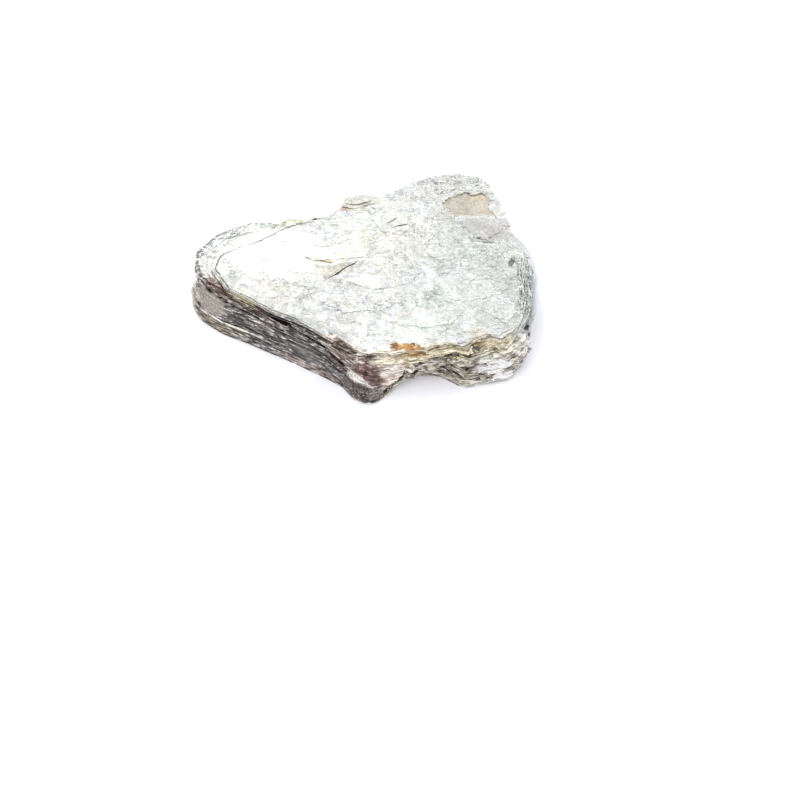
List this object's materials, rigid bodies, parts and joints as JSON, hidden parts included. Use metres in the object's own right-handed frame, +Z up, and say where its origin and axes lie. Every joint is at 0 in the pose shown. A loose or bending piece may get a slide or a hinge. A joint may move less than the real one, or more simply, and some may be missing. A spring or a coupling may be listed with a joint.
{
  "type": "mica crystal",
  "caption": "Palm-sized raw mica book: thin cleavage sheets in one flat crystal, with a bright pearly top face, a dark striated side and ragged edges.",
  "frame": {"origin": "on the resting face, under the middle of the crystal's box", "axes": "+Z up through the cleavage sheets; +X along the crystal's length, towards its broad ragged end; -Y towards the front knob"},
  "size_m": [0.0904, 0.0782, 0.0145],
  "materials": {
    "mica": "pearly silver-white cleavage sheets, with darker brown-grey striated edges and rust stains"
  },
  "bodies": {
    "root": {"mica_book": "mica"}
  },
  "joints": []
}
